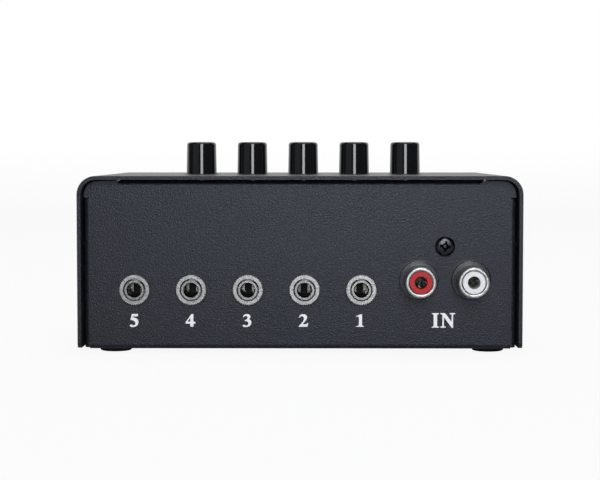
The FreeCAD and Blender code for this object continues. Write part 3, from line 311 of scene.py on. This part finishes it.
# Outlines in units of the character's height. A point with a third value is on a smooth curve.
CHARACTERS = {
    "1": [[(0.10, 0), (0.62, 0), (0.62, 0.04), (0.53, 0.06), (0.49, 0.13), (0.49, 1), (0.44, 1),
           (0.10, 0.86), (0.10, 0.82), (0.24, 0.85), (0.29, 0.79), (0.29, 0.13), (0.25, 0.06),
           (0.10, 0.04)]],
    "2": [[(0.03, 0.74), (0.13, 0.93, 1), (0.32, 1, 1), (0.53, 0.91, 1), (0.58, 0.73, 1),
           (0.48, 0.50, 1), (0.24, 0.18), (0.46, 0.18), (0.57, 0.20), (0.62, 0.29), (0.66, 0.29),
           (0.60, 0), (0.02, 0), (0.02, 0.04), (0.31, 0.42, 1), (0.38, 0.67, 1), (0.33, 0.81, 1),
           (0.22, 0.85, 1), (0.12, 0.81, 1), (0.07, 0.73)]],
    "3": [[(0.05, 0.79), (0.15, 0.95, 1), (0.32, 1, 1), (0.51, 0.93, 1), (0.56, 0.77, 1),
           (0.45, 0.59), (0.58, 0.49, 1), (0.62, 0.32, 1), (0.52, 0.08, 1), (0.28, -0.02, 1),
           (0.08, 0.01, 1), (0.03, 0.08, 1), (0.10, 0.14, 1), (0.25, 0.07, 1), (0.38, 0.12, 1),
           (0.42, 0.27, 1), (0.35, 0.42, 1), (0.18, 0.47), (0.18, 0.52), (0.33, 0.61, 1),
           (0.37, 0.73, 1), (0.31, 0.85, 1), (0.21, 0.87, 1), (0.09, 0.77)]],
    "4": [[(0.42, 1), (0.54, 1), (0.54, 0.38), (0.68, 0.38), (0.68, 0.24), (0.54, 0.24), (0.54, 0),
           (0.34, 0), (0.34, 0.24), (0.02, 0.24), (0.02, 0.37)],
          [(0.34, 0.38), (0.12, 0.38), (0.34, 0.75)]],
    "5": [[(0.18, 1), (0.60, 1), (0.56, 0.83), (0.23, 0.83), (0.20, 0.74), (0.40, 0.68, 1),
           (0.56, 0.56, 1), (0.62, 0.37, 1), (0.53, 0.11, 1), (0.30, -0.02, 1), (0.09, 0, 1),
           (0.03, 0.08, 1), (0.10, 0.15, 1), (0.25, 0.08, 1), (0.38, 0.14, 1), (0.42, 0.28, 1),
           (0.33, 0.45, 1), (0.08, 0.54)]],
    "I": [[(0.03, 0), (0.45, 0), (0.45, 0.05), (0.36, 0.07), (0.34, 0.12), (0.34, 0.88),
           (0.36, 0.93), (0.45, 0.95), (0.45, 1), (0.03, 1), (0.03, 0.95), (0.12, 0.93),
           (0.14, 0.88), (0.14, 0.12), (0.12, 0.07), (0.03, 0.05)]],
    "N": [[(0.02, 1), (0.29, 1), (0.70, 0.38), (0.70, 0.88), (0.68, 0.93), (0.58, 0.95), (0.58, 1),
           (0.90, 1), (0.90, 0.95), (0.80, 0.93), (0.78, 0.88), (0.78, -0.02), (0.72, -0.02),
           (0.22, 0.74), (0.22, 0.12), (0.24, 0.07), (0.34, 0.05), (0.34, 0), (0.02, 0),
           (0.02, 0.05), (0.12, 0.07), (0.14, 0.12), (0.14, 0.88), (0.10, 0.93), (0.02, 0.95)]],
}
panel_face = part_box("base_tray")[0].y
ink = Finish("white_ink", (0.86, 0.86, 0.86), 0.5)
ink_cover = ink.grain(INK_PATCH, 3.0)
ink.feed("Base Color", ink.mixed(ink_cover, (0.82, 0.82, 0.83, 1), (0.92, 0.92, 0.92, 1)))


def printed(name, text, height, x, z):
    """Characters printed on the panel, centred on a place along it and standing on a base line."""
    print_curve = bpy.data.curves.new(name, "CURVE")
    print_curve.dimensions = "2D"
    print_curve.fill_mode = "BOTH"
    print_curve.extrude = INK_THICKNESS
    print_curve.offset = STROKE_SPREAD
    print_curve.materials.append(ink.material)
    stretched = height * CHARACTER_STRETCH
    start = 0.0
    for character in text:
        outlines = CHARACTERS[character]
        for outline in outlines:
            spline = print_curve.splines.new("BEZIER")
            spline.bezier_points.add(len(outline) - 1)
            spline.use_cyclic_u = True
            for point, (across, up, *smooth) in zip(spline.bezier_points, outline):
                point.co = ((start + across) * stretched, up * height, 0)
                kind = "AUTO" if smooth else "VECTOR"
                point.handle_left_type = kind
                point.handle_right_type = kind
        start += max(point[0] for point in outlines[0]) + LETTER_GAP
    first = min(point[0] for point in CHARACTERS[text[0]][0])
    middle = (first + start - LETTER_GAP) / 2 * stretched
    print_object = bpy.data.objects.new(name, print_curve)
    print_object.location = (x - middle + PRINT_SHIFT, panel_face, z)
    print_object.rotation_euler = (math.radians(90), 0, 0)
    bpy.context.collection.objects.link(print_object)
    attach(print_object, "case")


for output in OUTPUTS:
    low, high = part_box(f"jack_{output}_bushing")
    printed(f"figure_{output}", str(output), FIGURE_HEIGHT, (low.x + high.x) / 2, FIGURE_BASE)
left_shell, right_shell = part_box("phono_left_shell"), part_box("phono_right_shell")
printed("word_in", "IN", WORD_HEIGHT, (left_shell[0].x + right_shell[1].x) / 2, WORD_BASE)


# Output jacks: a nickel-plated barrel through the panel, a round nut with a knurled rim, tinned
# spring contacts inside, and a black moulded housing behind the panel.
NICKEL_STAIN = 0.45 * MM
TURNING_MARK = 0.15 * MM


def of_each_output(name):
    """The names of the five nodes of one kind, from a name with a gap for the output's number."""
    return [name.format(output) for output in OUTPUTS]


def nickel(name, colour, roughness):
    """Nickel plate over turned brass, slightly dulled, with faint turning marks."""
    plate = Finish(name, colour, roughness, metallic=1.0)
    stains = plate.grain(NICKEL_STAIN, 4.0)
    darker = tuple(channel * 0.50 for channel in colour)
    plate.feed("Base Color", plate.mixed(plate.ramp(stains, 0.35, 0.65), (*darker, 1), (*colour, 1)))
    plate.feed("Roughness", stains * 0.2 + (roughness - 0.1))
    plate.bump(plate.grain(TURNING_MARK, 2.0), 0.006 * MM, 0.4)
    return plate


nickel("nut_nickel", (0.34, 0.34, 0.335), 0.32).on("jack_nuts")
nickel("barrel_nickel", (0.28, 0.28, 0.275), 0.28).on(*of_each_output("jack_{}_bushing"))
tinned_bronze = nickel("tinned_bronze", (0.90, 0.89, 0.85), 0.34)
tinned_bronze.on("switch_terminals", *of_each_output("jack_{}_contacts"))

MOULD_SKIN = 1.5 * MM
MOULD_GRAIN = 0.25 * MM


def moulding(name, colour, roughness, texture=0.02 * MM):
    """Moulded plastic with a faint mould texture and uneven gloss."""
    plastic = Finish(name, colour, roughness)
    skin = plastic.grain(MOULD_SKIN, 4.0)
    darker = tuple(channel * 0.85 for channel in colour)
    plastic.feed("Base Color", plastic.mixed(skin, (*darker, 1), (*colour, 1)))
    plastic.feed("Roughness", skin * 0.12 + (roughness - 0.06))
    plastic.bump(plastic.grain(MOULD_GRAIN), texture, 0.3)
    return plastic


moulding("jack_plastic", (0.004, 0.004, 0.0045), 0.60).on(*of_each_output("jack_{}_housing"))


# Phono sockets: one black moulded block whose collars come through the panel, nickel-plated
# shells, a red and a white insulator, and a slotted spring contact in the middle of each.
moulding("phono_plastic", (0.010, 0.013, 0.024), 0.22).on("phono_block")
nickel("shell_nickel", (0.50, 0.50, 0.49), 0.37).on("phono_left_shell", "phono_right_shell")
red_plastic = moulding("red_insulator", (0.46, 0.006, 0.010), 0.28, 0.01 * MM)
red_plastic.shader.inputs["Specular IOR Level"].default_value = 0.25
red_plastic.on("phono_left_insulator")
moulding("white_insulator", (0.78, 0.78, 0.78), 0.32, 0.01 * MM).on("phono_right_insulator")
tinned_bronze.on("phono_left_contact", "phono_right_contact")


# Five latching push switches under slim button caps of glossy black plastic. The slider and its
# spring are inside the switch, and the cap is pushed on to the slider's square stem. The spring
# stands on its foot, and each spring gets a mesh of its own.
HANDLING_MARK = 2.5 * MM
CAP_WAVE = 0.6 * MM

gloss_black = Finish("gloss_black_cap", (0.0055, 0.0057, 0.0070), 0.08)
handling = gloss_black.grain(HANDLING_MARK, 4.0)
gloss_black.feed("Roughness", handling * 0.06 + 0.05)
gloss_black.bump(gloss_black.grain(CAP_WAVE), 0.003 * MM, 0.4)
gloss_black.on(*of_each_output("button_{}_cap"))
switch_plastic = moulding("switch_plastic", (0.016, 0.016, 0.018), 0.35)
switch_plastic.on("switch_bases", *of_each_output("switch_{}_housing"))
moulding("slider_plastic", (0.66, 0.65, 0.60), 0.45).on(*of_each_output("switch_{}_plunger"))
plated_steel("spring_wire", (0.50, 0.50, 0.52), 0.28).on(*of_each_output("switch_{}_spring"))
for output in OUTPUTS:
    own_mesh(nodes[f"switch_{output}_spring"])


# Two glass-epoxy boards with a green solder mask over copper tracks, and a flat grey cable
# between their headers. The boards are routed from laminate, and stand on the standoffs.
WEAVE = 0.5 * MM
TRACK_SCALE = 60.0
TRACK_RISE = 0.03 * MM
CONDUCTOR_PITCH = 1.27 * MM

mask = Finish("green_solder_mask", (0.012, 0.11, 0.045), 0.30)
weave = mask.grain(WEAVE)
tracks = mask.node("TexBrick", {"offset": 0.5}, {
    "Vector": mask.place(), "Scale": TRACK_SCALE, "Mortar Size": 0.03}, "Fac")
copper = mask.mixed(tracks, (0.012, 0.085, 0.036, 1), (0.03, 0.19, 0.075, 1))
mask.feed("Base Color", mask.mixed(weave * 0.3, copper, (0.02, 0.13, 0.05, 1)))
mask.bump(tracks, TRACK_RISE, 0.5)
mask.on("main_board", "switch_board")
moulding("header_plastic", (0.014, 0.014, 0.015), 0.5).on("main_header", "switch_header")

flat_cable = Finish("flat_cable", (0.40, 0.41, 0.43), 0.45)
cores = flat_cable.node("Math", {"operation": "SINE"}, {
    0: flat_cable.along("X") * (2 * math.pi / CONDUCTOR_PITCH)})
ridges_and_painted_groove_shade = cores * 0.5 + 0.5
# Painted shade: the colour is darker in the grooves between the cores and lighter on their crests, on
# top of the real ribs that the bump makes.
flat_cable.feed("Base Color", flat_cable.mixed(ridges_and_painted_groove_shade, (0.30, 0.31, 0.33, 1), (0.44, 0.45, 0.47, 1)))
flat_cable.bump(ridges_and_painted_groove_shade, 0.25 * MM)
flat_cable.on("ribbon_cable")


# Hexagon standoffs that carry the two boards over the tray's floor. They are turned from brass bar,
# nickel-plated, and screwed down at both ends.
nickel("standoff_nickel", (0.62, 0.60, 0.54), 0.30).on("lower_standoffs", "upper_standoffs")
